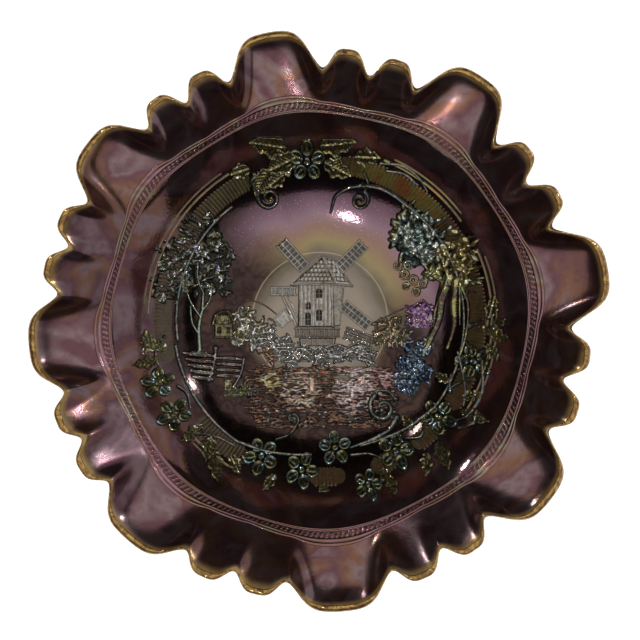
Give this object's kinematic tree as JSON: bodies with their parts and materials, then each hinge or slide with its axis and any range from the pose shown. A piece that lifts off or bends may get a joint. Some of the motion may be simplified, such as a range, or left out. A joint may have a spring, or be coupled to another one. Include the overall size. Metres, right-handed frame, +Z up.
{
  "type": "carnival glass bowl",
  "caption": "Ruffled pressed-glass bowl on a collar foot, with a crimped amber lip, a stippled ring band and a raised windmill scene in its well.",
  "frame": {"origin": "centre of the collar foot, in the plane of its resting face", "axes": "+Z is up, out of the bowl's mouth; +Y is towards the top of the raised scene"},
  "size_m": [0.2293, 0.2292, 0.0608],
  "materials": {
    "amethyst_foot": "dark amethyst pressed glass, glossy, with a thin oil-slick film",
    "smoke_floor": "amethyst glass thin enough to look smoky grey, glossy iridescent film",
    "amethyst_wall": "dark amethyst pressed glass, glossy iridescent film",
    "amethyst_upper": "dark amethyst pressed glass, glossy iridescent film",
    "mauve_band": "stippled mauve lustre between two raised lines",
    "amethyst_brim": "dark amethyst glass, fire-polished, glossy iridescent film",
    "amber_lip": "thin amber-gold fire-polished lip",
    "amethyst_outside": "dark amethyst pressed glass, glossy iridescent film",
    "tower_lustre": "raised pressed glass with a metallic lustre film",
    "cap_lustre": "raised pressed glass with a metallic lustre film",
    "sail_lustre": "raised pressed glass with a metallic lustre film",
    "gallery_lustre": "raised pressed glass with a metallic lustre film",
    "ramp_lustre": "raised pressed glass with a metallic lustre film",
    "cottage_lustre": "raised pressed glass with a metallic lustre film",
    "fence_lustre": "raised pressed glass with a metallic lustre film",
    "left_tree_lustre": "raised pressed glass with a metallic lustre film",
    "right_tree_lustre": "raised pressed glass with a metallic lustre film",
    "hill_lustre": "raised pressed glass with a metallic lustre film",
    "bush_lustre": "raised pressed glass with a metallic lustre film",
    "ripple_lustre": "raised pressed glass with a metallic lustre film",
    "rib_lustre": "raised pressed glass with a metallic lustre film",
    "vine_lustre": "raised pressed glass with a metallic lustre film",
    "flower_lustre": "raised pressed glass with a metallic lustre film",
    "leaf_lustre": "raised pressed glass with a metallic lustre film"
  },
  "bodies": {
    "root": {"foot_ring": "amethyst_foot", "well_floor": "smoke_floor", "bowl_wall": "amethyst_wall", "upper_wall": "amethyst_upper", "ring_band": "mauve_band", "brim": "amethyst_brim", "gilt_edge": "amber_lip", "outside_panels": "amethyst_outside", "mill_tower": "tower_lustre", "mill_cap": "cap_lustre", "mill_sails": "sail_lustre", "mill_gallery": "gallery_lustre", "mill_ramp": "ramp_lustre", "cottage": "cottage_lustre", "fence": "fence_lustre", "left_tree": "left_tree_lustre", "right_tree": "right_tree_lustre", "hills": "hill_lustre", "bushes": "bush_lustre", "pond_ripples": "ripple_lustre", "medallion_ribs": "rib_lustre", "vine_scrolls": "vine_lustre", "wreath_flowers": "flower_lustre", "wreath_leaves": "leaf_lustre"}
  },
  "joints": []
}
